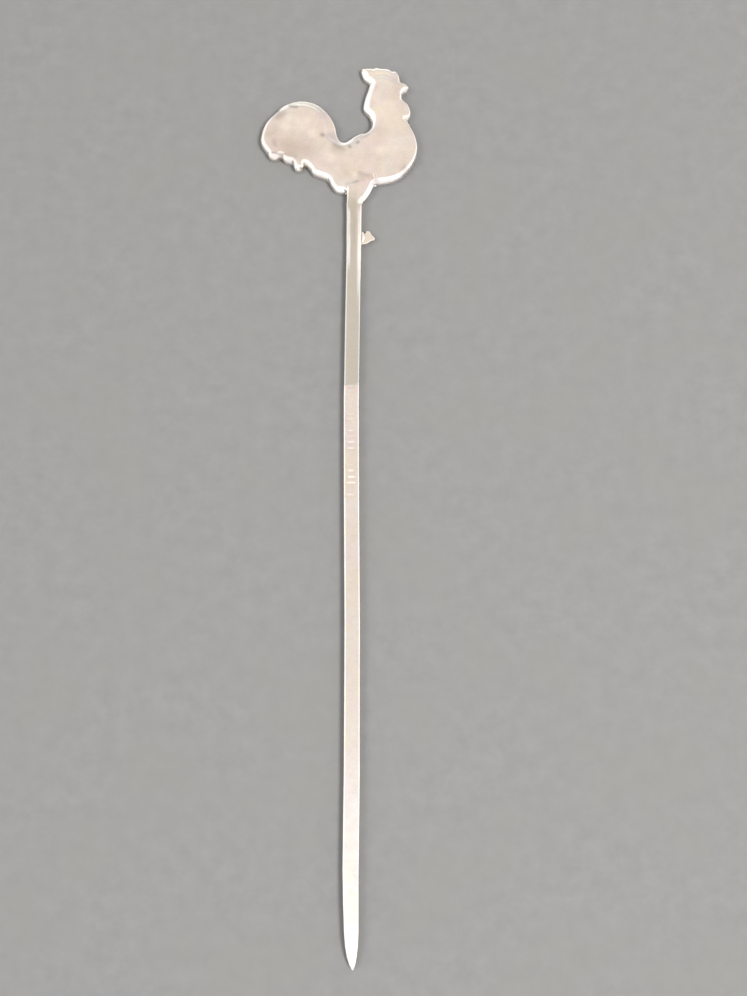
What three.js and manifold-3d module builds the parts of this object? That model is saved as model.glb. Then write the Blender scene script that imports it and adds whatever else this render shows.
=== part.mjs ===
// Hat pin: a flat silver cockerel on a flat bar stem, lying face down.
// Millimetres. X is across the pin, +Y runs along the stem towards the head,
// +Z is up, out of the pin's back. z = 0 is the plane the pin rests on, and the
// origin is on the stem's underside, where the stem leaves the head.
import * as THREE from "three";
import { mergeVertices } from "three/addons/utils/BufferGeometryUtils.js";
import Module from "manifold-3d";

const wasm = await Module();
wasm.setup();

// ---- driving dimensions ----
const PLATE_THICK = 1.1;
const RIM_THICK = 0.92; // at the tail's upper rim, the comb and the wattle
const PLATE_ROUND = 0.14; // worn edges of the plate
const STEM_WIDTH = 1.53;
const STEM_THICK = 1.0; // at the stem's two long edges
const STEM_CROWN = 0.07; // how far the ridge stands above those edges
const STEM_CORNER = 0.1; // worn corners of the bar
const RIDGE_X = 0.15; // the ridge, right of the stem's centre line
const STEM_TOP_X = 0.18; // the stem's centre line where it meets the head
const POINT_Y = -75.5; // tip of the pin
const SEAT_Y = 0.45; // where the bar butts against the head's lower edge
const LAP_FLOOR = 0.5; // floor of the recess that takes the tang
const SOLDER_GAP = 0.18; // width of the recess left round the tang for solder
const FIT = 0.02; // clearance between neighbouring pieces
const MARK_START = -20.5; // band of plain tick marks, from the head's end
const MARK_PITCH = 0.58;
const MARK_COUNT = 20;
const MARK_WIDTH = 0.22;
const MARK_DEPTH = 0.06;
const SPUR_LOW = 0.3;
const SPUR_HIGH = 0.78;
const SPUR_ROUND = 0.07;
const SPUR_ROOT_X = 1.02;
const SPUR_ROOT_Y = -5.22; // middle of the toe's root
const SPUR_ROOT_HEIGHT = 0.66;
const BEAD_Y = -4.85; // middle of the solder at the toe's root
const BEAD = { x: 0.52, y: 0.78, z: 0.4 }; // half sizes of that solder

const LOOKS = {
  head: { color: 0xe1d5c8, roughness: 0.3, metalness: 1.0 },
  stem: { color: 0xdcd8d4, roughness: 0.25, metalness: 1.0 },
  solder: { color: 0xc4baa8, roughness: 0.45, metalness: 1.0 },
};

// ---- the head's outline, from the stem's left side round to its right ----
// Each stretch is one smooth curve that starts where the last one ended.
const HEAD_START = [STEM_TOP_X - STEM_WIDTH / 2 - FIT, 0.0];
const HEAD_OUTLINE = {
  vent: [[-1.6, 0.1], [-2.15, 0.7], [-2.5, 1.35], [-3.1, 1.65], [-4.0, 2.0], [-4.35, 2.5], [-4.8, 3.05]],
  firstScallop: [[-5.0, 2.95], [-5.15, 2.55], [-5.6, 2.43], [-5.95, 2.6], [-6.15, 3.2]],
  secondScallop: [[-6.75, 3.32], [-7.08, 3.5], [-7.25, 3.85]],
  thirdScallop: [[-7.45, 3.9], [-7.8, 3.7], [-8.2, 3.66], [-8.6, 3.88], [-8.8, 4.3]],
  tailBack: [[-9.3, 5.0], [-9.5, 5.7], [-9.35, 6.7], [-8.95, 7.65], [-8.2, 8.55]],
  tailTop: [[-7.75, 9.12], [-7.0, 9.68], [-5.5, 10.1], [-3.9, 9.8], [-2.7, 8.85], [-1.9, 7.6], [-1.6, 6.3]],
  saddle: [[-1.35, 5.72], [-0.9, 5.5], [-0.2, 5.92], [0.6, 6.35], [1.3, 6.58], [1.82, 7.05], [1.96, 7.55]],
  nape: [[1.85, 8.0], [1.6, 8.55], [1.22, 8.95], [1.1, 9.5], [1.3, 10.5], [1.6, 11.4], [1.78, 12.05]],
  combBack: [[1.5, 12.3], [1.15, 12.6], [0.9, 13.2], [0.84, 13.72]],
  combTop: [[1.45, 13.74], [2.05, 13.76], [2.4, 13.86], [2.75, 13.76], [3.7, 13.66], [4.05, 13.42]],
  combFront: [[4.45, 13.42], [4.72, 13.1], [4.88, 12.7], [4.92, 12.35], [5.15, 12.05]],
  beak: [[5.5, 11.92], [5.82, 11.5], [5.68, 11.2], [5.4, 11.05], [5.2, 10.8]],
  wattle: [[5.16, 10.4], [5.35, 10.05], [5.72, 9.7], [5.95, 9.15], [6.03, 8.65], [5.92, 8.2], [5.64, 7.98]],
  breast: [[5.9, 7.3], [6.35, 6.4], [6.62, 5.5], [6.68, 4.6], [6.5, 3.65], [5.95, 2.62], [5.0, 1.65]],
  belly: [[4.3, 1.28], [3.5, 1.08], [2.9, 1.0], [2.3, 0.9]],
};

// The low zones, each from the step that bounds it out to points clear of the plate.
const LOW_ZONES = {
  tailAndSaddle: {
    step: [
      [-8.6, 8.5], [-7.5, 8.75], [-6.5, 9.3], [-5.4, 9.48], [-4.2, 9.2], [-3.35, 8.45], [-2.95, 7.3],
      [-2.75, 6.2], [-2.0, 5.4], [-1.2, 5.02], [-0.35, 5.2], [0.5, 5.7], [1.35, 6.15], [2.05, 6.8],
      [2.2, 7.5], [1.95, 8.3], [1.45, 8.85],
    ],
    clear: [[-2, 12], [-8.6, 11.5]],
  },
  comb: {
    step: [[1.3, 11.8], [1.65, 12.08], [2.2, 12.47], [3.05, 12.68], [4.0, 12.42], [4.6, 11.98], [5.4, 12.02]],
    clear: [[6, 12.5], [6, 15], [0, 15], [0, 12]],
  },
  wattle: {
    step: [[5.7, 10.9], [5.1, 10.75], [4.85, 10.4], [4.9, 9.6], [5.1, 8.7], [5.35, 8.05], [6.1, 7.8]],
    clear: [[7, 8], [7, 10.5]],
  },
};

// The tang's edge inside the recess, and the flare below it, right of the stem.
const TANG_EDGE = [
  [-0.22, 0.72], [0.39, 1.04], [0.8, 1.47], [1.3, 1.95], [1.72, 2.2], [2.1, 2.0], [2.3, 1.5], [2.3, 0.86],
];
const FLARE_EDGE = [[2.05, 0.5], [1.85, 0.05], [1.55, -0.42], [1.3, -0.78], [1.08, -0.95], [0.98, -1.25]];

// Stations down the stem: place along it, centre line, width, and the share of
// the full thickness at which the underside, the edges and the ridge lie.
const STEM_STATIONS = [
  { y: -1.2, x: STEM_TOP_X, width: STEM_WIDTH, low: 0, high: 1, crown: 0 },
  { y: -2.2, x: STEM_TOP_X, width: STEM_WIDTH, low: 0, high: 1, crown: 0.5 },
  { y: -8, x: 0.14, width: STEM_WIDTH, low: 0, high: 1, crown: 1 },
  { y: -14, x: 0.04, width: STEM_WIDTH, low: 0, high: 1, crown: 1 },
  { y: -22, x: -0.04, width: STEM_WIDTH, low: 0, high: 1, crown: 1 },
  { y: -30, x: 0.0, width: STEM_WIDTH, low: 0, high: 1, crown: 1 },
  { y: -44, x: 0.12, width: STEM_WIDTH, low: 0, high: 1, crown: 1 },
  { y: -58, x: 0.12, width: STEM_WIDTH, low: 0, high: 1, crown: 1 },
  { y: -66.5, x: 0.04, width: STEM_WIDTH, low: 0, high: 1, crown: 1 },
  { y: -69.5, x: 0.07, width: 1.5, low: 0, high: 1, crown: 1 },
  { y: -72, x: 0.12, width: 1.42, low: 0, high: 0.97, crown: 1 },
  { y: -73.3, x: 0.14, width: 1.26, low: 0.05, high: 0.9, crown: 1 },
  { y: -74.3, x: 0.17, width: 0.94, low: 0.13, high: 0.78, crown: 0.8 },
  { y: -75.0, x: 0.22, width: 0.56, low: 0.23, high: 0.64, crown: 0.4 },
  { y: POINT_Y, x: 0.25, width: 0.1, low: 0.36, high: 0.46, crown: 0 },
];

// The toe: a short root out from the stem, and a blunt claw turned up towards the head.
const SPUR_UNDERSIDE = [[1.3, -5.5], [1.65, -5.34], [1.92, -5.13], [2.18, -5.07]];
const SPUR_CLAW = [
  [2.31, -4.86], [2.16, -4.66], [1.93, -4.42], [1.76, -4.15],
  [1.52, -4.08], [1.34, -4.26], [1.27, -4.66],
];

// ---- helpers ----
const vector = ([x, y]) => new THREE.Vector2(x, y);

function curveThrough(points, steps) {
  return new THREE.SplineCurve(points.map(vector)).getPoints(steps);
}

// Points along smooth stretches joined end to end.
function tracedOutline(start, stretches, stepsPerPoint) {
  const points = [vector(start)];
  for (const stretch of Object.values(stretches)) {
    const curve = new THREE.SplineCurve([points[points.length - 1], ...stretch.map(vector)]);
    points.push(...curve.getPoints(stepsPerPoint * stretch.length).slice(1));
  }
  return points;
}

// A line of points moved sideways, to its left.
function besideLine(points, distance) {
  return points.map((point, i) => {
    const before = points[Math.max(i - 1, 0)];
    const after = points[Math.min(i + 1, points.length - 1)];
    const along = after.clone().sub(before).normalize();
    return new THREE.Vector2(point.x - along.y * distance, point.y + along.x * distance);
  });
}

// A flat piece over a closed outline, with rounded edges above and below.
function flatPiece(points, low, high, round = 0) {
  const geometry = new THREE.ExtrudeGeometry(new THREE.Shape(points), {
    depth: high - low - 2 * round,
    bevelEnabled: round > 0,
    bevelThickness: round,
    bevelSize: round * 0.8,
    bevelOffset: -round * 0.8,
    bevelSegments: 2,
  });
  return toSolid(geometry.translate(0, 0, low + round));
}

function toSolid(geometry) {
  geometry.deleteAttribute("normal");
  geometry.deleteAttribute("uv");
  const merged = mergeVertices(geometry, 1e-5);
  const mesh = new wasm.Mesh({
    numProp: 3,
    vertProperties: new Float32Array(merged.attributes.position.array),
    triVerts: new Uint32Array(merged.index.array),
  });
  return new wasm.Manifold(mesh);
}

function toMesh(name, solid, look) {
  const { vertProperties, triVerts } = solid.getMesh();
  const geometry = new THREE.BufferGeometry();
  geometry.setAttribute("position", new THREE.BufferAttribute(vertProperties, 3));
  geometry.setIndex(new THREE.BufferAttribute(triVerts, 1));
  geometry.computeVertexNormals();
  const mesh = new THREE.Mesh(geometry, new THREE.MeshStandardMaterial(look));
  mesh.name = name;
  return mesh;
}

// ---- the head ----
// The tang's edge, from the head's lower edge on the left round to the flare.
function tangEdge() {
  const left = STEM_TOP_X - STEM_WIDTH / 2;
  return [vector([left, 0.02]), vector([left, 0.5]), ...curveThrough(TANG_EDGE, 24)];
}

function lapRecess() {
  const edge = besideLine(tangEdge(), SOLDER_GAP);
  const below = -1;
  const first = edge[0];
  const last = edge[edge.length - 1];
  const outline = [vector([first.x, below]), ...edge, vector([last.x, below])];
  return flatPiece(outline, LAP_FLOOR, PLATE_THICK + 1);
}

function makeHead() {
  const left = HEAD_START[0];
  const right = left + STEM_WIDTH + 2 * FIT;
  const seat = [[1.6, 0.8], [right, SEAT_Y], [left, SEAT_Y]].map(vector);
  const outline = [...tracedOutline(HEAD_START, HEAD_OUTLINE, 3), ...seat];
  let head = flatPiece(outline, 0, PLATE_THICK, PLATE_ROUND);
  for (const { step, clear } of Object.values(LOW_ZONES)) {
    const zone = [...curveThrough(step, step.length * 3), ...clear.map(vector)];
    head = head.subtract(flatPiece(zone, RIM_THICK, PLATE_THICK + 1));
  }
  return head.subtract(lapRecess());
}

// ---- the stem ----
// The bar's section: flat below, two shallow facets meeting at a ridge above.
function barSection() {
  const half = STEM_WIDTH / 2;
  const corner = STEM_CORNER;
  const corners = [
    [-half + corner, 0], [half - corner, 0], [half, corner],
    [half, STEM_THICK - corner], [half - corner, STEM_THICK],
    [RIDGE_X, STEM_THICK + STEM_CROWN],
    [-half + corner, STEM_THICK], [-half, STEM_THICK - corner], [-half, corner],
  ];
  return new THREE.Shape(corners.map(vector));
}

// The section run down the stations, each of which moves and shrinks it.
function makeBar() {
  const steps = STEM_STATIONS.length - 1;
  const bar = new THREE.ExtrudeGeometry(barSection(), { depth: steps, steps, bevelEnabled: false });
  const position = bar.attributes.position;
  for (let i = 0; i < position.count; i += 1) {
    const station = STEM_STATIONS[Math.round(position.getZ(i))];
    const up = Math.min(position.getY(i), STEM_THICK);
    const ridge = position.getY(i) - up;
    const x = station.x + (position.getX(i) * station.width) / STEM_WIDTH;
    const z = THREE.MathUtils.lerp(station.low, station.high, up / STEM_THICK) * STEM_THICK;
    position.setXYZ(i, x, station.y, z + ridge * station.crown);
  }
  return toSolid(bar);
}

// The bar's upper end: full thickness up to the head, thinned where it is let in,
// and filed flush with the plate on top.
function makeTang() {
  const left = STEM_TOP_X - STEM_WIDTH / 2;
  const right = STEM_TOP_X + STEM_WIDTH / 2;
  const below = -1.6;
  const base = [vector([right, below]), vector([left, below])];
  const flare = curveThrough(FLARE_EDGE, 12);
  const seat = [[left, SEAT_Y - FIT], [right, SEAT_Y - FIT], [1.6, 0.8 - 2 * FIT], [2.2, 0.8]];
  const foot = flatPiece([...base, ...seat.map(vector), ...flare], 0, STEM_THICK);
  const lap = flatPiece([...base, ...tangEdge(), ...flare], LAP_FLOOR + FIT, PLATE_THICK);
  return foot.add(lap);
}

function makeStem() {
  let stem = makeBar().add(makeTang());
  const height = 1;
  for (let i = 0; i < MARK_COUNT; i += 1) {
    const mark = new THREE.BoxGeometry(STEM_WIDTH * 0.72, MARK_WIDTH, height);
    const floor = STEM_THICK + STEM_CROWN - MARK_DEPTH;
    mark.translate(0, MARK_START - i * MARK_PITCH, floor + height / 2);
    stem = stem.subtract(toSolid(mark));
  }
  return stem;
}

// Solder that fills the recess round the tang, filed flush with it and the plate.
function makeTangSolder() {
  const outer = besideLine(tangEdge(), SOLDER_GAP - FIT);
  const inner = besideLine(tangEdge(), FIT);
  return flatPiece([...outer, ...inner.reverse()], LAP_FLOOR + FIT, PLATE_THICK);
}

// ---- the toe ----
// The toe, grown by the given amount all round.
function makeSpur(grow = 0) {
  const half = SPUR_ROOT_HEIGHT / 2;
  const root = [SPUR_ROOT_X, SPUR_ROOT_Y + half];
  const heel = [SPUR_ROOT_X, SPUR_ROOT_Y - half];
  const underside = curveThrough([heel, ...SPUR_UNDERSIDE], 12);
  const claw = curveThrough([SPUR_UNDERSIDE[SPUR_UNDERSIDE.length - 1], ...SPUR_CLAW], 21);
  const outline = [vector(root), ...underside, ...claw.slice(1)];
  const closed = [outline[outline.length - 1], ...outline, outline[0]];
  const grown = besideLine(closed, -grow).slice(1, -1);
  return flatPiece(grown, SPUR_LOW - grow, SPUR_HIGH + grow, SPUR_ROUND);
}

function makeSpurSolder() {
  const stemSide = STEM_TOP_X + STEM_WIDTH / 2;
  const bead = new THREE.SphereGeometry(1, 24, 16).scale(BEAD.x, BEAD.y, BEAD.z);
  bead.translate(stemSide - 0.05, BEAD_Y, (SPUR_LOW + SPUR_HIGH) / 2);
  const stemSpace = new THREE.BoxGeometry(2, 4, 4).translate(stemSide - 1, BEAD_Y, 0);
  return toSolid(bead).subtract(toSolid(stemSpace)).subtract(makeSpur(FIT));
}

function makePin() {
  const pin = new THREE.Group();
  pin.add(toMesh("rooster_plate", makeHead(), LOOKS.head));
  pin.add(toMesh("pin_stem", makeStem(), LOOKS.stem));
  pin.add(toMesh("tang_solder", makeTangSolder(), LOOKS.solder));
  pin.add(toMesh("toe_spur", makeSpur(), LOOKS.head));
  pin.add(toMesh("spur_solder", makeSpurSolder(), LOOKS.solder));
  return pin;
}

export default makePin();
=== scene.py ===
"""Hat pin with a flat silver cockerel: finished surfaces, floor, light and camera.

Lengths inside the modelling functions are millimetres, and every finished mesh
is brought to metres. X is across the pin, +Y runs along the stem towards the
cockerel, +Z is up out of the pin's back.
"""

import math

import bmesh
import bpy
from bpy.props import FloatProperty, FloatVectorProperty, IntProperty, PointerProperty
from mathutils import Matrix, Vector, noise
from mathutils.bvhtree import BVHTree
from mathutils.geometry import intersect_point_line


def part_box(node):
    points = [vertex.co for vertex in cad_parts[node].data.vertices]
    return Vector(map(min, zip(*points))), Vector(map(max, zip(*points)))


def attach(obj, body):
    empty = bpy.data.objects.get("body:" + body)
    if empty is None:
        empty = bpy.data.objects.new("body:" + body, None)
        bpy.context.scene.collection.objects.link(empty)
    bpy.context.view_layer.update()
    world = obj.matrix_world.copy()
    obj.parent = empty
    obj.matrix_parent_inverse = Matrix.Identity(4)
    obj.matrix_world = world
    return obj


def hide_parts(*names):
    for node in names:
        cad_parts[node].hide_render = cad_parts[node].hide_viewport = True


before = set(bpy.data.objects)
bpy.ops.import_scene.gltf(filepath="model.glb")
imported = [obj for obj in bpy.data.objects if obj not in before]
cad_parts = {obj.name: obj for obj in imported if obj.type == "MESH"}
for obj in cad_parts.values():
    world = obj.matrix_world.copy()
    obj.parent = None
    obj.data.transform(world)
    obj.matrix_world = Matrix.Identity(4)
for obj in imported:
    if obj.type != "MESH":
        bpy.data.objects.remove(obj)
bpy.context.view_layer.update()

bl_info = {
    "name": "Hat Pin with Cockerel",
    "version": (1, 0, 0),
    "blender": (4, 5, 0),
    "location": "View3D > Sidebar > Hat Pin",
    "description": "Finishes a flat silver hat pin: worn head, ridged stem, solder and toe",
    "category": "Object",
}

MM = 0.001  # metres in a millimetre


def box_mm(node):
    """The lowest and highest corner of a frame node, in millimetres."""
    low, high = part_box(node)
    return Vector(low) / MM, Vector(high) / MM


STEM_LOW, STEM_HIGH = box_mm("pin_stem")
HEAD_LOW, HEAD_HIGH = box_mm("rooster_plate")

# ---- the stem: millimetres, as places along it and the value there ----
CROWN = 0.07  # how far the ridge stands above the bar's edges
FACET = 0.13  # how far the bar's long edges are filed down just below the head
RIDGE = -0.12  # where the ridge lies, as a share of half the width
SEAT_Y = 0.43  # where the bar's lower half ends against the head
LAP_Z = 0.52  # underside of the tang, where it is let into the head
TIP_Y = STEM_LOW.y
LAP_TOP_Y = STEM_HIGH.y

CENTRE_LINE = [
    (-1.2, 0.18), (-2.2, 0.18), (-8, 0.14), (-14, 0.05), (-22, -0.04), (-30, 0.0), (-44, 0.12),
    (-58, 0.12), (-66.5, 0.04), (-69.5, 0.07), (-72, 0.12), (-73.3, 0.14), (-74.3, 0.17),
    (-75, 0.22), (-75.5, 0.25),
]
BAR_WIDTH = [
    (-2.5, 1.61), (-8, 1.57), (-50, 1.56), (-60, 1.59), (-66.5, 1.58), (-69.5, 1.52), (-72, 1.43),
    (-73.3, 1.26), (-74.3, 0.94), (-75, 0.56), (-75.5, 0.06),
]
BAR_LOW = [(-71, 0.0), (-72, 0.02), (-73.3, 0.06), (-74.3, 0.14), (-75, 0.25), (-75.5, 0.39)]
BAR_TOP = [
    (-75.5, 0.43), (-75, 0.62), (-74.3, 0.77), (-73.3, 0.89), (-72, 0.96), (-70, 1.0),
    (-3.0, 1.0), (-1.4, 1.045), (0.2, 1.085),
]
# the tang's left and right edges, from the bar up into the head
TANG_LEFT = [(-1.2, -0.6), (0.55, -0.57), (0.72, -0.22), (1.04, 0.39), (1.47, 0.8), (1.95, 1.3), (2.2, 1.68)]
TANG_RIGHT = [
    (-1.6, 0.985), (-1.25, 0.99), (-0.95, 1.08), (-0.78, 1.3), (-0.42, 1.55), (0.05, 1.85), (0.5, 2.05),
    (0.86, 2.3), (1.5, 2.3), (2.0, 2.1), (2.2, 1.76),
]

# ---- dark spots and strokes painted on the back and stem: from, to, half width, darkness ----
DARK_MARKS = [
    ((-6.5, 9.4), (-5.8, 9.27), 0.15, 0.5), ((-7.9, 8.2), (-7.1, 8.55), 0.38, 0.22),
    ((-8.1, 5.5), (-7.98, 5.1), 0.24, 0.26), ((-8.24, 4.21), (-6.86, 4.1), 0.11, 0.42),
    ((-3.15, 6.2), (-3.05, 6.15), 0.22, 0.5), ((-1.9, 5.15), (-1.0, 4.62), 0.25, 0.26),
    ((-6.45, 4.08), (-5.9, 3.8), 0.26, 0.16), ((-0.32, 4.95), (-0.25, 4.85), 0.18, 0.5),
    ((0.5, 5.35), (0.58, 5.42), 0.17, 0.48), ((1.4, 6.1), (1.6, 6.3), 0.2, 0.2),
    ((-0.56, 0.83), (0.1, 1.0), 0.17, 0.26), ((0.1, 1.0), (0.5, 1.12), 0.16, 0.42),
    ((0.67, 2.02), (1.57, 1.74), 0.22, 0.24), ((2.25, 1.26), (2.5, 1.3), 0.2, 0.24),
    ((5.17, 2.43), (5.4, 2.6), 0.26, 0.24), ((0.0, -2.0), (0.0, -2.6), 0.14, 0.22),
    ((0.22, -2.9), (0.15, -5.6), 0.13, 0.24), ((-0.2, -3.6), (-0.25, -3.7), 0.12, 0.2),
    ((-0.1, -6.2), (-0.15, -7.0), 0.14, 0.16),
]
# ---- how the back's polish varies, with painted highlights and painted shade: place, radius, and how much lighter or darker ----
POLISH_SHEEN_SHADE = [
    (-6.4, 4.8, 1.5, -0.85), (-4.4, 4.6, 0.9, -0.5), (-8.5, 6.4, 0.9, -0.5), (-7.6, 8.3, 0.5, -0.45),
    (-6.54, 8.16, 0.36, 0.55), (-6.84, 7.11, 0.42, 0.6), (-4.68, 7.82, 0.32, 0.5), (-4.15, 6.39, 0.42, 0.55),
    (-5.4, 7.4, 0.9, 0.25), (-1.6, 4.75, 0.6, -0.7), (-2.28, 3.74, 0.5, 0.35), (-0.9, 2.2, 0.7, -0.2),
    (0.27, 1.82, 0.3, 0.7), (0.9, 1.5, 0.5, -0.5), (2.95, 4.56, 0.5, 0.6), (4.2, 5.1, 0.9, 0.2),
    (3.3, 8.6, 1.3, 0.45), (2.4, 10.6, 0.5, 0.3), (4.6, 11.4, 0.5, -0.35), (2.0, 1.6, 0.45, -0.5),
    (5.2, 2.9, 0.5, -0.3), (2.8, 13.2, 1.0, 0.9), (1.1, 6.2, 0.3, -0.4), (2.9, 6.6, 0.9, -0.15),
]

# ---- materials' colours ----
SILVER = (0.94, 0.92, 0.89)
TARNISH = (0.55, 0.5, 0.42)
# dark oxide in hollows, which also paints the shade in creases and at the dark spots
OXIDE_AND_SHADE = (0.12, 0.105, 0.09)
# yellow patches in the polish, and the toe's painted glint
YELLOWED = (0.93, 0.86, 0.72)
ROSY = (0.93, 0.84, 0.84)
# bright polish and painted highlight
BRIGHT_POLISH_HIGHLIGHT = (1.0, 0.96, 0.85)
PALE = (0.9, 0.91, 0.88)
# dull polish and painted shade
DULL_POLISH_SHADE = (0.7, 0.62, 0.56)
GREY_FILM = (0.72, 0.72, 0.69)
OLIVE_FILM = (0.6, 0.57, 0.48)


# ---- settings a user would change ----
class HatPinSizes(bpy.types.PropertyGroup):
    head_grain: FloatProperty(
        name="Head grain", description="Spacing of the head's mesh, in millimetres",
        default=0.068, min=0.05, max=0.3,
    )
    head_softening: IntProperty(
        name="Head softening", description="Rounds of smoothing that wear the head's edges",
        default=4, min=0, max=40,
    )
    ripple: FloatProperty(
        name="Ripple", description="Height of the head's unevenness, in millimetres",
        default=0.02, min=0.0, max=0.1,
    )
    filed_edge: FloatProperty(
        name="Filed edge", description="Width of the bevel filed on the head's lower edges, in millimetres",
        default=0.5, min=0.1, max=1.5,
    )
    mark_count: IntProperty(
        name="Tick marks", description="Number of plain tick marks on the stem",
        default=20, min=0, max=60,
    )
    mark_depth: FloatProperty(
        name="Tick depth", description="Depth of the tick marks, in millimetres",
        default=0.034, min=0.0, max=0.2,
    )


class HatPinColours(bpy.types.PropertyGroup):
    silver: FloatVectorProperty(
        name="Silver", description="Colour of the polished metal", subtype="COLOR",
        size=3, min=0.0, max=1.0, default=SILVER,
    )
    tarnish: FloatVectorProperty(
        name="Tarnish", description="Colour of the thin brown bloom on the metal", subtype="COLOR",
        size=3, min=0.0, max=1.0, default=TARNISH,
    )
    # colour of the oxide in hollows, also used for painted crease shade and the painted dark spots
    oxide_and_shade: FloatVectorProperty(
        name="Oxide", description="Colour of the dirt and oxide in hollows", subtype="COLOR",
        size=3, min=0.0, max=1.0, default=OXIDE_AND_SHADE,
    )
    floor: FloatVectorProperty(
        name="Floor", description="Colour of the card the pin lies on", subtype="COLOR",
        size=3, min=0.0, max=1.0, default=(0.114, 0.114, 0.1145),
    )


class HatPinCamera(bpy.types.PropertyGroup):
    lens: FloatProperty(
        name="Lens", description="Focal length on a 36 mm sensor", default=39.76, unit="CAMERA",
    )
    distance: FloatProperty(
        name="Distance", description="From the camera to the point it looks at",
        default=0.1083, unit="LENGTH",
    )
    tilt: FloatProperty(
        name="Tilt", description="Lean of the camera away from straight down",
        default=math.radians(9.3), unit="ROTATION",
    )
    target: FloatVectorProperty(
        name="Target", description="Point on the floor that the camera looks at",
        default=(0.002157, -0.031549, 0.0), size=3, unit="LENGTH",
    )


def settings():
    return bpy.context.scene.hat_pin_sizes


def colours():
    return bpy.context.scene.hat_pin_colours


# ---- material helpers ----
class Nodes:
    """Adds and joins the nodes of one node tree."""

    def __init__(self, tree):
        self.tree = tree
        tree.nodes.clear()

    def add(self, kind, **values):
        """A node of a kind, with its sockets (by name) and settings filled in."""
        node = self.tree.nodes.new(kind)
        for name, value in values.items():
            if name in node.inputs:
                self.fill(node.inputs[name], value)
            else:
                setattr(node, name, value)
        return node

    def fill(self, socket, value):
        if isinstance(value, bpy.types.NodeSocket):
            self.tree.links.new(value, socket)
        else:
            socket.default_value = value

    def maths(self, operation, first, second=0.0, clamp=False):
        node = self.tree.nodes.new("ShaderNodeMath")
        node.operation = operation
        node.use_clamp = clamp
        self.fill(node.inputs[0], first)
        self.fill(node.inputs[1], second)
        return node.outputs[0]

    def remap(self, value, low, high, to_low=0.0, to_high=1.0):
        node = self.add("ShaderNodeMapRange", Value=value)
        node.inputs["From Min"].default_value = low
        node.inputs["From Max"].default_value = high
        node.inputs["To Min"].default_value = to_low
        node.inputs["To Max"].default_value = to_high
        return node.outputs["Result"]

    def blend(self, amount, first, second, mode="MIX"):
        node = self.add("ShaderNodeMix", data_type="RGBA", blend_type=mode)
        self.fill(node.inputs[0], amount)
        self.fill(node.inputs[6], first)
        self.fill(node.inputs[7], second)
        return node.outputs[2]

    def grain(self, place, size, stretch=(1, 1, 1), turn=0.0, detail=3.0, rough=0.55):
        """Noise whose features are about size metres across, longer where stretch is more."""
        mapping = self.add("ShaderNodeMapping", Vector=place)
        mapping.inputs["Rotation"].default_value = (0, 0, turn)
        mapping.inputs["Scale"].default_value = [1 / (size * s) for s in stretch]
        texture = self.add("ShaderNodeTexNoise", Scale=1.0, Detail=detail, Roughness=rough)
        self.tree.links.new(mapping.outputs[0], texture.inputs["Vector"])
        return texture.outputs["Fac"]


def rgba(colour):
    return (*colour, 1.0)


def silver_colour(n, place, oxide_and_crease_shade, tarnish, glint_yellowing, rosy):
    """Silver with warm and rosy patches, uneven polish with painted highlights and painted shade, brown
    bloom, and dark oxide with painted crease shade in hollows and at the painted dark spots; gives the
    colour and the bloom.
    """
    polish_sheen_shade = n.add("ShaderNodeAttribute", attribute_name="polish_sheen_shade").outputs["Fac"]
    tint = n.grain(place, 2.6 * MM, detail=3, rough=0.5)
    pink = n.grain(place, 1.9 * MM, turn=0.8, detail=3, rough=0.5)
    clean = n.blend(glint_yellowing, rgba(colours().silver), rgba(YELLOWED))
    clean = n.blend(n.remap(tint, 0.42, 0.62, 0.0, 0.6), clean, rgba(YELLOWED))
    clean = n.blend(n.remap(pink, 0.45, 0.62, 0.0, rosy), clean, rgba(ROSY))
    # lighter and darker patches: uneven polish with painted highlights and painted shade
    clean = n.blend(n.remap(polish_sheen_shade, 0.2, -1.0, 0.0, 1.0), clean, rgba(DULL_POLISH_SHADE))
    clean = n.blend(n.remap(polish_sheen_shade, 0.0, 0.8, 0.0, 1.0), clean, rgba(BRIGHT_POLISH_HIGHLIGHT))
    patches = n.grain(place, 1.1 * MM, detail=5, rough=0.6)
    specks = n.grain(place, 0.3 * MM, detail=2)
    bloom = n.remap(patches, 0.42, 0.7, 0.0, tarnish)
    bloom = n.maths("MULTIPLY", bloom, n.remap(polish_sheen_shade, -0.5, 0.7, 1.2, 0.3))
    speckle = n.remap(specks, 0.58, 0.82, 0.0, tarnish * 0.4)
    amount = n.maths("ADD", bloom, speckle, clamp=True)
    tinted = n.blend(amount, clean, rgba(colours().tarnish))
    # hollows, creases and the dark spots go to the oxide colour: real oxide and painted crease shade
    return n.blend(oxide_and_crease_shade, tinted, rgba(colours().oxide_and_shade)), amount


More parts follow.
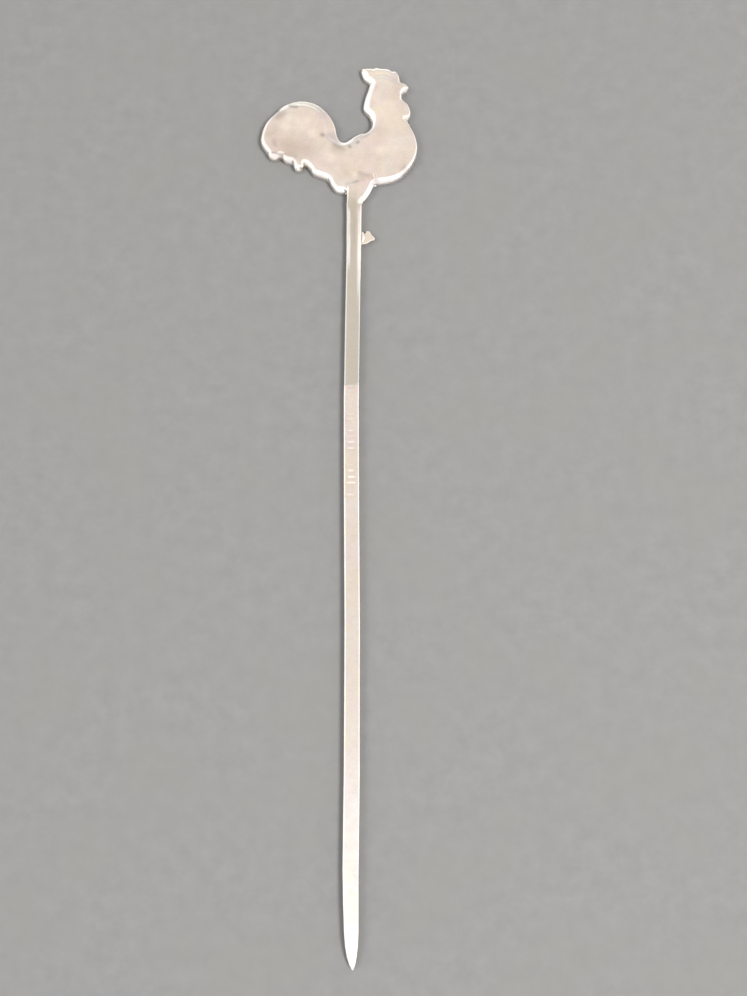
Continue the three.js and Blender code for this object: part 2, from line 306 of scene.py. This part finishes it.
def stem_film(n, place, base):
    """Grey film on the stem above its marks, olive next to the head; both thinner on the right of the upper
    stem, rubbed wear that also paints a highlight there.
    """
    split = n.add("ShaderNodeSeparateXYZ", Vector=place)
    right = split.outputs["X"]
    along = split.outputs["Y"]
    wander = n.grain(place, 0.6 * MM, detail=3)
    edge = n.maths("ADD", along, n.maths("MULTIPLY", n.maths("SUBTRACT", wander, 0.5), 0.9 * MM))
    grey = n.remap(edge, MARK_TOP * MM, (MARK_TOP + 0.25) * MM, 0.0, 1.0)
    fade = n.remap(along, -1.5 * MM, 0.3 * MM, 1.0, 0.1)
    # the right of the upper stem keeps less film: rubbed wear and a painted highlight
    rubbed_and_lit = n.maths("MULTIPLY", n.remap(right, 0.3 * MM, 0.6 * MM), n.remap(along, -10 * MM, -7 * MM))
    fade = n.maths("MULTIPLY", fade, n.remap(rubbed_and_lit, 0.0, 1.0, 1.0, 0.3))
    grey = n.maths("MULTIPLY", grey, fade)
    base = n.blend(n.maths("MULTIPLY", grey, 0.6), base, rgba(PALE))
    base = n.blend(grey, base, rgba(GREY_FILM), mode="MULTIPLY")
    olive = n.remap(along, -7 * MM, -2 * MM, 0.0, 0.6)
    olive = n.maths("MULTIPLY", olive, n.remap(wander, 0.35, 0.6, 0.2, 1.0))
    return n.blend(n.maths("MULTIPLY", olive, fade), base, rgba(OLIVE_FILM))


def silver_material(name, polish=0.2, tarnish=0.35, brushed=False, glint_yellowing=0.0, rosy=0.7):
    """Worn silver: bloom in patches, dark oxide and painted crease shade in hollows, fine scratches and
    orange peel.
    """
    material = bpy.data.materials.new(name)
    material.use_nodes = True
    n = Nodes(material.node_tree)
    place = n.add("ShaderNodeTexCoord").outputs["Object"]
    oxide_and_crease_shade = n.add("ShaderNodeAttribute", attribute_name="oxide_and_crease_shade").outputs["Fac"]
    base, amount = silver_colour(n, place, oxide_and_crease_shade, tarnish, glint_yellowing, rosy)

    if brushed:
        base = stem_film(n, place, base)
        lines = n.grain(place, 0.05 * MM, stretch=(1, 60, 1), detail=4)
        cross = n.grain(place, 0.08 * MM, stretch=(1, 25, 1), turn=0.12, detail=3)
    else:
        lines = n.grain(place, 0.045 * MM, stretch=(40, 1, 1), turn=0.7, detail=4)
        cross = n.grain(place, 0.06 * MM, stretch=(30, 1, 1), turn=-0.5, detail=3)
    scratches = n.maths("ADD", n.remap(lines, 0.35, 0.65), n.remap(cross, 0.4, 0.7))
    peel = n.grain(place, 0.5 * MM, detail=3)
    rough = n.remap(lines, 0.3, 0.7, polish - 0.03, polish + 0.05)
    rough = n.maths("ADD", rough, n.maths("MULTIPLY", amount, 0.3))
    rough = n.maths("ADD", rough, n.maths("MULTIPLY", oxide_and_crease_shade, 0.35), clamp=True)

    height = n.maths("ADD", n.maths("MULTIPLY", scratches, 0.25), peel)
    bump = n.add("ShaderNodeBump", Strength=0.35, Distance=0.006 * MM, Height=height)
    shader = n.add("ShaderNodeBsdfPrincipled", Metallic=1.0, Roughness=rough)
    n.fill(shader.inputs["Base Color"], base)
    n.fill(shader.inputs["Normal"], bump.outputs[0])
    out = n.add("ShaderNodeOutputMaterial")
    n.fill(out.inputs["Surface"], shader.outputs[0])
    return material


def floor_material():
    material = bpy.data.materials.new("grey_card")
    material.use_nodes = True
    n = Nodes(material.node_tree)
    place = n.add("ShaderNodeTexCoord").outputs["Object"]
    mottle = n.grain(place, 1.6 * MM, detail=6, rough=0.65)
    broad = n.grain(place, 9 * MM, detail=2)
    colour = colours().floor
    light = [min(1.0, c * 1.07) for c in colour]
    dark = [c * 0.93 for c in colour]
    base = n.blend(n.remap(mottle, 0.3, 0.7), rgba(dark), rgba(light))
    warm = (colour[0] * 1.02, colour[1], colour[2] * 0.94)
    base = n.blend(n.remap(broad, 0.4, 0.6, 0.0, 0.5), base, rgba(warm))
    fibres = n.grain(place, 0.5 * MM, detail=5)
    bump = n.add("ShaderNodeBump", Strength=0.25, Distance=0.03 * MM, Height=fibres)
    shader = n.add("ShaderNodeBsdfPrincipled", Roughness=0.85)
    n.fill(shader.inputs["Base Color"], base)
    n.fill(shader.inputs["Normal"], bump.outputs[0])
    out = n.add("ShaderNodeOutputMaterial")
    n.fill(out.inputs["Surface"], shader.outputs[0])
    return material


# ---- modelling helpers ----
def between(table, place):
    """Reads a table of (place, value): straight between its rows, level beyond its ends."""
    rows = sorted(table)
    if place <= rows[0][0]:
        return rows[0][1]
    for (low, first), (high, second) in zip(rows, rows[1:]):
        if place <= high:
            share = (place - low) / (high - low)
            return first + (second - first) * share
    return rows[-1][1]


def finish_piece(bm, name, material, node):
    """Turns a millimetre bmesh into a piece in metres that stands for a frame node."""
    mesh = bpy.data.meshes.new(name)
    bmesh.ops.scale(bm, vec=(MM, MM, MM), verts=bm.verts)
    bm.to_mesh(mesh)
    bm.free()
    mesh.shade_smooth()
    piece = bpy.data.objects.new(name, mesh)
    bpy.context.scene.collection.objects.link(piece)
    piece.data.materials.append(material)
    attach(piece, "root")
    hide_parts(node)
    return piece


def soften(bm, rounds, verts=None):
    """Smooths the given points, or all of them, a number of times."""
    for _ in range(rounds):
        bmesh.ops.smooth_vert(
            bm, verts=verts or bm.verts, factor=0.5, use_axis_x=True, use_axis_y=True, use_axis_z=True,
        )


def worn_copy(node, grain, rounds):
    """A finer copy of a frame node, in millimetres, with its edges worn round.

    It is remeshed at a thousand times its size, because the voxel modifier
    takes no voxel below a tenth of a millimetre.
    """
    bm = bmesh.new()
    bm.from_mesh(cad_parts[node].data)
    bmesh.ops.remove_doubles(bm, verts=bm.verts, dist=1e-7)
    bmesh.ops.scale(bm, vec=(1 / MM, 1 / MM, 1 / MM), verts=bm.verts)
    mesh = bpy.data.meshes.new(node + "_rough")
    bm.to_mesh(mesh)
    bm.free()
    rough = bpy.data.objects.new(node + "_rough", mesh)
    bpy.context.scene.collection.objects.link(rough)
    remesh = rough.modifiers.new("grain", "REMESH")
    remesh.mode = "VOXEL"
    remesh.voxel_size = grain
    graph = bpy.context.evaluated_depsgraph_get()
    fine = bpy.data.meshes.new_from_object(rough.evaluated_get(graph))
    bm = bmesh.new()
    bm.from_mesh(fine)
    bpy.data.objects.remove(rough)
    bpy.data.meshes.remove(mesh)
    bpy.data.meshes.remove(fine)
    soften(bm, rounds)
    return bm


def dark_marks_at(place):
    """How dark the painted spots and strokes are at a place on the back."""
    dark_spots = 0.0
    for start, end, width, strength in DARK_MARKS:
        start, end = Vector((*start, 0)), Vector((*end, 0))
        flat = Vector((place.x, place.y, 0))
        nearest, share = intersect_point_line(flat, start, end)
        nearest = start.lerp(end, min(1.0, max(0.0, share)))
        dark_spots = max(dark_spots, strength * math.exp(-((flat - nearest).length / width) ** 2))
    return dark_spots


def polish_sheen_shade_at(place):
    """How much lighter (up to 1) or darker (down to -1) the polish is at a place on the back, painted
    highlights and painted shade included.
    """
    polish_sheen_shade = 0.0
    for x, y, radius, amount in POLISH_SHEEN_SHADE:
        near = ((place.x - x) ** 2 + (place.y - y) ** 2) / radius ** 2
        polish_sheen_shade += amount * math.exp(-near)
    return min(1.0, max(-1.0, polish_sheen_shade))


def mark_oxide_and_crease_shade(bm, reach, rounds=6, most=0.8):
    """Stores on each point how dark it is painted: oxide and painted crease shade by how far it lies below
    its surroundings, the painted dark spots and strokes, and its uneven polish with painted highlights and
    shade.
    """
    bm.normal_update()
    layer = bm.verts.layers.float.new("oxide_and_crease_shade")
    polish_sheen_shade = bm.verts.layers.float.new("polish_sheen_shade")
    soft = bm.copy()
    soften(soft, rounds)
    bm.verts.ensure_lookup_table()
    soft.verts.ensure_lookup_table()
    for vert, level in zip(bm.verts, soft.verts):
        depth = (level.co - vert.co).dot(vert.normal)
        sunk = min(most, max(0.0, depth / reach))
        on_back = vert.co.z > 0.4 and vert.co.y > -9
        # depth below the smoothed surface gives oxide and painted crease shade; the dark spots and strokes
        # are painted too
        vert[layer] = max(sunk, dark_marks_at(vert.co)) if on_back else sunk
        vert[polish_sheen_shade] = polish_sheen_shade_at(vert.co) if on_back else 0.0
    soft.free()


def sweep(bm, stations, place, count):
    """Draws a closed ring of count points through the stations; place(station, index) puts them.

    The first ring is capped and the last drawn together to a point.
    """
    order = bm.verts.layers.int.new("order")
    ring = bmesh.ops.create_circle(bm, segments=count, radius=1.0)["verts"]
    for index, vert in enumerate(ring):
        vert[order] = index
        vert.co = place(stations[0], index)
    edges = list({edge for vert in ring for edge in vert.link_edges})
    first_edges = edges
    for station in stations[1:]:
        made = bmesh.ops.extrude_edge_only(bm, edges=edges)["geom"]
        ring = [part for part in made if isinstance(part, bmesh.types.BMVert)]
        members = set(ring)
        edges = [
            part for part in made
            if isinstance(part, bmesh.types.BMEdge) and set(part.verts) <= members
        ]
        for vert in ring:
            vert.co = place(station, vert[order])
    bmesh.ops.holes_fill(bm, edges=first_edges, sides=0)
    middle = sum((vert.co for vert in ring), Vector()) / len(ring)
    bmesh.ops.pointmerge(bm, verts=ring, merge_co=middle)
    bmesh.ops.recalc_face_normals(bm, faces=bm.faces)


# ---- the head ----
PLATE = HEAD_HIGH.z
BACK_LEVEL = 0.85  # the whole of the back lies above this
LOW_LEVEL = 0.95  # the tail's rim, the comb and the wattle lie below this
LOW_DEPTH_KEPT = 0.35  # the share of a low zone's depth that wear has left
RIM_TILT = 0.2  # how far the tail's rim falls
RIM_WIDTH = 1.1  # how far from the step it has fallen that much
STEP_REACH = 0.4  # how far from a step the metal is worn smooth
STEP_ROUNDS = 14
NARROW_BEVEL = 0.22  # width of the bevel where an edge is hardly filed
GUSSET_BEVEL = (0.48, 0.32, 1.3)  # width, depth and power of the bevel on the tang's right edge
NAPE_Y = 7.6  # the nape lies above this
COMB_TIPS_Y = 12.5


def tree_of(node, keep):
    """A search tree, in millimetres, of the faces of a frame node that keep(face, lowest) chooses."""
    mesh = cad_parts[node].data
    corners = [vert.co / MM for vert in mesh.vertices]
    chosen = []
    for face in mesh.polygons:
        lowest = min(corners[i].z for i in face.vertices)
        if keep(face.center / MM, face.normal, lowest):
            chosen.append(list(face.vertices))
    return BVHTree.FromPolygons(corners, chosen)


def outer_wall(middle, normal, lowest):
    """Walls that go down to the floor, apart from those the stem butts against."""
    by_stem = -0.7 < middle.x < 2.4 and middle.y < 0.95 and (middle.y > 0.15 or middle.x > -0.55)
    return abs(normal.z) < 0.2 and lowest < 0.3 and not by_stem


def step_wall(middle, normal, lowest):
    return abs(normal.z) < 0.2 and lowest > BACK_LEVEL


def gusset_wall(middle, normal, lowest):
    """The tang's right edge, below the head."""
    upright = abs(normal.z) < 0.2 and lowest < 0.3
    return upright and normal.x > 0.2 and middle.x > 0.96 and -1.2 < middle.y < 0.9


WHOLE_PLATE = tree_of("rooster_plate", lambda middle, normal, lowest: True)
OUTER_WALLS = tree_of("rooster_plate", outer_wall)
STEP_WALLS = tree_of("rooster_plate", step_wall)
GUSSET_WALLS = tree_of("pin_stem", gusset_wall)


def filed_away(gap, width, depth, power):
    """Depth of a bevel that starts width away from an edge, more gently with a higher power."""
    return depth * min(1.0, max(0.0, 1.0 - gap / width)) ** power


def gusset_drop(x, y):
    gap = GUSSET_WALLS.find_nearest(Vector((x, y, PLATE / 2)))[3]
    return filed_away(gap, *GUSSET_BEVEL)


def edge_drop(x, y):
    """How far the back is filed down at a place, most by the head's lower edges and its nape."""
    outward, _, gap = OUTER_WALLS.find_nearest(Vector((x, y, PLATE / 2)))[1:]
    lower = max(0.0, -outward.y)
    left = max(0.0, -outward.x) * (1.0 - lower)
    nape = min(1.0, max(0.0, y - NAPE_Y)) if x > 0.5 else 0.0
    crown = max(0.0, outward.y) if y > COMB_TIPS_Y else 0.0
    width = NARROW_BEVEL + (settings().filed_edge - NARROW_BEVEL) * lower
    width += (0.25 + 0.5 * nape) * left + 0.25 * crown
    depth = 0.1 + 0.5 * lower + (0.14 + 0.16 * nape) * left + 0.05 * crown
    return max(filed_away(gap, width, depth, 2.2 - 0.9 * lower), gusset_drop(x, y))


def zone_drop(x, y):
    """How far the tail's rim, the low zone on the left, falls away outwards."""
    if x >= 0:
        return 0.0
    level = Vector((x, y, PLATE / 2))
    inside = level - 0.15 * OUTER_WALLS.find_nearest(level)[1]
    top = WHOLE_PLATE.ray_cast(Vector((inside.x, inside.y, 5)), Vector((0, 0, -1)))[0]
    if top is None or not 0.8 < top.z < LOW_LEVEL:
        return 0.0
    from_step = STEP_WALLS.find_nearest(Vector((x, y, LOW_LEVEL)))[3]
    return RIM_TILT * min(1.0, from_step / RIM_WIDTH)


def shape_plate(bm):
    """Files the plate's edges, lifts and tilts its low zones and makes its back uneven."""
    for vert in bm.verts:
        if vert.co.z > BACK_LEVEL:
            vert.co.z = PLATE - LOW_DEPTH_KEPT * (PLATE - vert.co.z)
        x, y, z = vert.co
        wave = noise.noise(Vector((x * 0.42, y * 0.42, 3.1))) + 0.5 * noise.noise(Vector((x, y, 8.4)))
        ripple = settings().ripple * (wave - 1.0)
        vert.co.z = z * (1.0 + (ripple - edge_drop(x, y) - zone_drop(x, y)) / PLATE)


class HATPIN_OT_head(bpy.types.Operator):
    """Make the worn silver cockerel"""

    bl_idname = "hat_pin.head"
    bl_label = "Cockerel head"

    def execute(self, context):
        sizes = settings()
        bm = worn_copy("rooster_plate", sizes.head_grain, sizes.head_softening)
        shape_plate(bm)
        by_steps = [
            vert for vert in bm.verts
            if vert.co.z > 0.8 and STEP_WALLS.find_nearest(vert.co)[3] < STEP_REACH
        ]
        soften(bm, STEP_ROUNDS, by_steps)
        soften(bm, 2)
        mark_oxide_and_crease_shade(bm, reach=0.045, most=0.6)
        material = silver_material("worn_head_silver", polish=0.24, tarnish=0.3)
        finish_piece(bm, "cockerel_head", material, "rooster_plate")
        return {"FINISHED"}


# ---- the stem ----
MARK_START = -20.5
MARK_PITCH = 0.58
MARK_WIDTH = 0.38
MARK_TOP = MARK_START - 0.02  # where the struck, cleaner part of the stem begins


def steps(start, end, step):
    """Places from start to just short of end."""
    count = max(1, round(abs(end - start) / step))
    return [start + (end - start) * i / count for i in range(count)]


def bar_section():
    """Points once round the bar, from -1 to 1 both ways: worn corners, a finely divided top."""
    corner_x = 0.22
    corner_z = 0.36
    flats = [26, 1, 4, 1]
    next_corners = [
        (corner_x - 1, 1), (-1, corner_z - 1), (1 - corner_x, -1), (1, 1 - corner_z),
    ]
    points = []
    for quarter, (side, level) in enumerate([(1, 1), (-1, 1), (-1, -1), (1, -1)]):
        for i in range(5):
            angle = math.radians(90 * quarter + 22.5 * i)
            x = side * (1 - corner_x) + corner_x * math.cos(angle)
            z = level * (1 - corner_z) + corner_z * math.sin(angle)
            points.append(Vector((x, z)))
        start = points[-1]
        end = Vector(next_corners[quarter])
        points += [start.lerp(end, (i + 1) / (flats[quarter] + 1)) for i in range(flats[quarter])]
    return points


BAR = bar_section()


def mark_at(y, across):
    """How deep the worn tick marks are at a place on the stem."""
    number = round((MARK_START - y) / MARK_PITCH)
    if not 0 <= number < settings().mark_count:
        return 0.0
    chance = [noise.noise(Vector((number * 3.7, row, 0.4))) for row in (1.2, 5.3, 9.1)]
    off = (y - (MARK_START - number * MARK_PITCH) - 0.12 * chance[2]) / (MARK_WIDTH / 2)
    reach = 0.6 + 0.3 * chance[1]
    side = max(0.0, 1.0 - ((across + 0.2 - 0.4 * chance[0]) / reach) ** 4)
    return settings().mark_depth * (0.8 + 1.2 * chance[0]) * math.exp(-off ** 2) * side


def upper_facets(from_left, from_right, y):
    """How far the bar's long edges are filed down, unevenly, just below the head."""
    start = min(1.0, max(0.0, (-1.3 - y) / 0.9))
    wander = noise.noise(Vector((0.7, y * 1.3, 2.0)))
    left = start * min(1.0, max(0.0, (y + 9.0) / 2.5)) * (1.0 + 0.8 * wander)
    right = start * min(1.0, max(0.0, (y + 14.0) / 4.0)) * (1.0 + 0.3 * wander)
    left *= max(0.0, 1.0 - from_left / 0.44)
    right *= max(0.0, 1.0 - from_right / 0.42)
    return FACET * (left + right)


def stem_point(y, index):
    """A point on the stem's skin."""
    across, up = BAR[index]
    centre = between(CENTRE_LINE, y)
    half = between(BAR_WIDTH, y) / 2
    left = between(TANG_LEFT, y) if y > -1.2 else centre - half
    right = between(TANG_RIGHT, y) if y > -1.6 else centre + half
    low = LAP_Z if y > SEAT_Y else between(BAR_LOW, y)
    top = between(BAR_TOP, y)
    x = left + (right - left) * (across + 1) / 2
    z = low + (top - low) * (up + 1) / 2
    if up > 0:
        fade = min(1.0, max(0.0, (-1.4 - y) / 3.0)) * min(1.0, (y - TIP_Y) / 3.0 + 0.2)
        from_ridge = (across - RIDGE) / (1.0 - RIDGE if across > RIDGE else 1.0 + RIDGE)
        ridge = 1.0 - math.sqrt(from_ridge ** 2 + 0.02)
        z += CROWN * fade * max(0.0, ridge) * up
        z += 0.008 * (noise.noise(Vector((across * 0.8, y * 0.3, 5.0))) - 1.0) * up
        z -= mark_at(y, across) * up
        z -= upper_facets(x - left, right - x, y) * up
    if y > -1.3 and x > 0.2:
        z = min(z, 1.085 - edge_drop(x, y) if y > 0.6 else top - gusset_drop(x, y))
    return Vector((x, y, z))


class HATPIN_OT_stem(bpy.types.Operator):
    """Make the ridged stem with its tang, tick marks and point"""

    bl_idname = "hat_pin.stem"
    bl_label = "Stem"

    def execute(self, context):
        marks_end = MARK_START - settings().mark_count * MARK_PITCH
        places = steps(LAP_TOP_Y, SEAT_Y + 0.01, 0.06)
        places += steps(SEAT_Y + 0.01, SEAT_Y - 0.01, 0.02)
        places += steps(SEAT_Y - 0.01, -2.2, 0.07)
        places += steps(-2.2, MARK_START + 0.5, 0.3)
        places += steps(MARK_START + 0.5, marks_end, 0.035)
        places += steps(marks_end, -68, 0.35)
        places += steps(-68, TIP_Y + 0.5, 0.12)
        places += steps(TIP_Y + 0.5, TIP_Y, 0.04) + [TIP_Y]
        bm = bmesh.new()
        sweep(bm, places, stem_point, len(BAR))
        mark_oxide_and_crease_shade(bm, reach=0.05, rounds=4)
        material = silver_material("drawn_stem_silver", polish=0.17, tarnish=0.22, brushed=True)
        finish_piece(bm, "ridged_stem", material, "pin_stem")
        return {"FINISHED"}


# ---- the solder ----
SEAM_HALF_WIDTH = 0.3
SEAM_TOP = 1.084
SEAM_SIDES = 16


def seam_path():
    """The tang's edge where solder lies, from the head's lower edge round to the flare."""
    points = [(left, y) for y, left in TANG_LEFT if y > 0.5]
    points = [(-0.67, 0.06), (-0.67, 0.4)] + [(x - 0.06, y + 0.08) for x, y in points]
    points += [(1.95, 2.25), (2.26, 2.02), (2.39, 1.6), (2.39, 1.15), (2.38, 0.93)]
    return [Vector((x, y, 0.0)) for x, y in points]


def seam_stations(step):
    stations = []
    path = seam_path()
    for start, end in zip(path, path[1:]):
        length = (end - start).length
        count = max(1, round(length / step))
        direction = (end - start) / length
        stations += [(start + direction * length * i / count, direction) for i in range(count)]
    stations.append((path[-1], direction))
    last = len(stations) - 1
    tapers = [min(1.0, 0.45 + 0.06 * i, 0.6 + 0.08 * (last - i)) for i in range(last + 1)]
    return [(centre, way, taper) for (centre, way), taper in zip(stations, tapers)]


def seam_point(station, index):
    """A point on the solder's skin: a low mound, whose width wanders along the seam."""
    centre, direction, taper = station
    turn = math.tau * index / SEAM_SIDES
    wander = noise.noise(centre * 1.9 + Vector((4.0, 0.0, 2.0)))
    width = SEAM_HALF_WIDTH * (1.0 + 0.2 * wander) * taper
    height = 0.13 * taper
    side = Vector((-direction.y, direction.x, 0.0))
    place = centre + side * (width * math.cos(turn))
    level = SEAM_TOP - height + 0.006 * wander - edge_drop(place.x, place.y)
    return place + Vector((0, 0, level + height * math.sin(turn)))


class HATPIN_OT_solder(bpy.types.Operator):
    """Make the solder round the tang and at the toe's root"""

    bl_idname = "hat_pin.solder"
    bl_label = "Solder"

    def execute(self, context):
        material = silver_material("silver_solder", polish=0.27, tarnish=0.35)
        bm = bmesh.new()
        sweep(bm, seam_stations(0.05), seam_point, SEAM_SIDES)
        soften(bm, 2)
        mark_oxide_and_crease_shade(bm, reach=0.05)
        finish_piece(bm, "tang_solder_bead", material, "tang_solder")
        bead = worn_copy("spur_solder", 0.03, 3)
        mark_oxide_and_crease_shade(bead, reach=0.1)
        finish_piece(bead, "toe_solder_bead", material, "spur_solder")
        return {"FINISHED"}


# ---- the toe ----
class HATPIN_OT_toe(bpy.types.Operator):
    """Make the small hooked toe"""

    bl_idname = "hat_pin.toe"
    bl_label = "Toe"

    def execute(self, context):
        bm = worn_copy("toe_spur", 0.03, 6)
        low = min(vert.co.z for vert in bm.verts)
        for vert in bm.verts:
            vert.co.z = low + (vert.co.z - low) * (1.0 - 0.34 * (vert.co.x - 1.2))
        mark_oxide_and_crease_shade(bm, reach=0.05)
        # a warmer, less tarnished silver that paints the toe's cream glint
        material = silver_material("toe_silver_painted_glint", polish=0.22, tarnish=0.05, glint_yellowing=0.3, rosy=0.0)
        finish_piece(bm, "hooked_toe", material, "toe_spur")
        return {"FINISHED"}


# ---- floor, light and camera ----
# The room's brightness by how far a direction leans along the pin, from the
# point's side (-1) to the head's side (1): a window beyond the point, a dim wall
# beyond the head.
ROOM = [
    (-1.0, (1.3, 1.3, 1.32)), (-0.3, (1.5, 1.5, 1.5)), (0.0, (0.9, 0.84, 0.8)),
    (0.52, (0.98, 0.86, 0.77)), (0.7, (0.58, 0.55, 0.56)), (1.0, (1.5, 1.52, 1.52)),
]
SIDES = (1.45, 1.44, 1.44)  # the room far out to the pin's left and right
BRIGHTEST = 1.62  # ramp colours stop at 1, so the room is dimmed by this and its strength raised


def dimmed(colour):
    return rgba([c / BRIGHTEST for c in colour])


def room_ramp(n, lean):
    ramp = n.add("ShaderNodeValToRGB", Fac=lean)
    stops = ramp.color_ramp.elements
    while len(stops) < len(ROOM):
        stops.new(0.5)
    for stop, (place, colour) in zip(stops, ROOM):
        stop.position = (place + 1) / 2
        stop.color = dimmed(colour)
    return ramp.outputs["Color"]


def room_light():
    """A world whose brightness follows the ROOM table, and brightens out to both sides."""
    world = bpy.data.worlds.new("soft_room")
    bpy.context.scene.world = world
    world.use_nodes = True
    n = Nodes(world.node_tree)
    way = n.add("ShaderNodeTexCoord").outputs["Generated"]
    split = n.add("ShaderNodeSeparateXYZ", Vector=way)
    across = split.outputs["X"]
    room = room_ramp(n, n.remap(split.outputs["Y"], -1.0, 1.0))
    room = n.blend(n.remap(across, -0.3, -0.6), room, dimmed(SIDES))
    room = n.blend(n.remap(across, 0.4, 0.7), room, dimmed(SIDES))
    background = n.add("ShaderNodeBackground", Strength=BRIGHTEST)
    n.fill(background.inputs["Color"], room)
    out = n.add("ShaderNodeOutputWorld")
    n.fill(out.inputs["Surface"], background.outputs[0])


def lamp(name, way, distance, size, power, colour):
    """A soft square lamp for the card and its shadows, aimed at the middle of the pin."""
    light = bpy.data.lights.new(name, "AREA")
    light.shape = "SQUARE"
    light.size = size
    light.energy = power
    light.color = colour
    holder = bpy.data.objects.new(name, light)
    bpy.context.scene.collection.objects.link(holder)
    holder.visible_glossy = False
    aim = Vector((0.0, -0.02, 0.0))
    holder.location = aim + Vector(way).normalized() * distance
    holder.rotation_euler = (-Vector(way)).to_track_quat("-Z", "Y").to_euler()


def make_floor():
    bm = bmesh.new()
    bmesh.ops.create_grid(bm, x_segments=1, y_segments=1, size=2.0)
    bmesh.ops.translate(bm, verts=bm.verts, vec=(0, 0, -0.02 * MM))
    mesh = bpy.data.meshes.new("card")
    bm.to_mesh(mesh)
    bm.free()
    floor = bpy.data.objects.new("card", mesh)
    bpy.context.scene.collection.objects.link(floor)
    mesh.materials.append(floor_material())


def make_camera():
    shot = bpy.context.scene.hat_pin_camera
    data = bpy.data.cameras.new("camera")
    data.sensor_width = 36.0
    data.lens = shot.lens
    data.clip_start = 0.005
    camera = bpy.data.objects.new("camera", data)
    bpy.context.scene.collection.objects.link(camera)
    back = Vector((0.0, -math.sin(shot.tilt), math.cos(shot.tilt)))
    camera.location = Vector(shot.target) + back * shot.distance
    camera.rotation_euler = (shot.tilt, 0.0, 0.0)
    bpy.context.scene.camera = camera


class HATPIN_OT_stage(bpy.types.Operator):
    """Make the card, the soft light and the camera"""

    bl_idname = "hat_pin.stage"
    bl_label = "Card, light and camera"

    def execute(self, context):
        make_floor()
        room_light()
        lamp("key", (0.42, -0.22, 0.87), 0.45, 0.13, 3.8, (1.0, 0.98, 0.95))
        lamp("fill", (-0.6, -0.1, 0.8), 0.45, 0.2, 1.1, (0.95, 0.97, 1.0))
        make_camera()
        context.scene.view_settings.view_transform = "Standard"
        return {"FINISHED"}


class HATPIN_PT_build(bpy.types.Panel):
    """Lists the steps that build the hat pin"""

    bl_idname = "HATPIN_PT_build"
    bl_label = "Hat Pin"
    bl_space_type = "VIEW_3D"
    bl_region_type = "UI"
    bl_category = "Hat Pin"

    def draw(self, context):
        for step in STEPS:
            self.layout.operator(step.bl_idname)
        for name in GROUPS:
            for prop in getattr(context.scene, name).bl_rna.properties:
                if prop.identifier not in {"rna_type", "name"}:
                    self.layout.prop(getattr(context.scene, name), prop.identifier)


GROUPS = {
    "hat_pin_sizes": HatPinSizes,
    "hat_pin_colours": HatPinColours,
    "hat_pin_camera": HatPinCamera,
}
STEPS = [HATPIN_OT_stage, HATPIN_OT_head, HATPIN_OT_stem, HATPIN_OT_solder, HATPIN_OT_toe]


def register():
    for cls in [*GROUPS.values(), *STEPS, HATPIN_PT_build]:
        bpy.utils.register_class(cls)
    for name, group in GROUPS.items():
        setattr(bpy.types.Scene, name, PointerProperty(type=group))


def unregister():
    for name in GROUPS:
        delattr(bpy.types.Scene, name)
    for cls in reversed([*GROUPS.values(), *STEPS, HATPIN_PT_build]):
        bpy.utils.unregister_class(cls)


def main():
    register()
    bpy.ops.hat_pin.stage()
    bpy.ops.hat_pin.head()
    bpy.ops.hat_pin.stem()
    bpy.ops.hat_pin.solder()
    bpy.ops.hat_pin.toe()


if __name__ == "__main__":
    main()
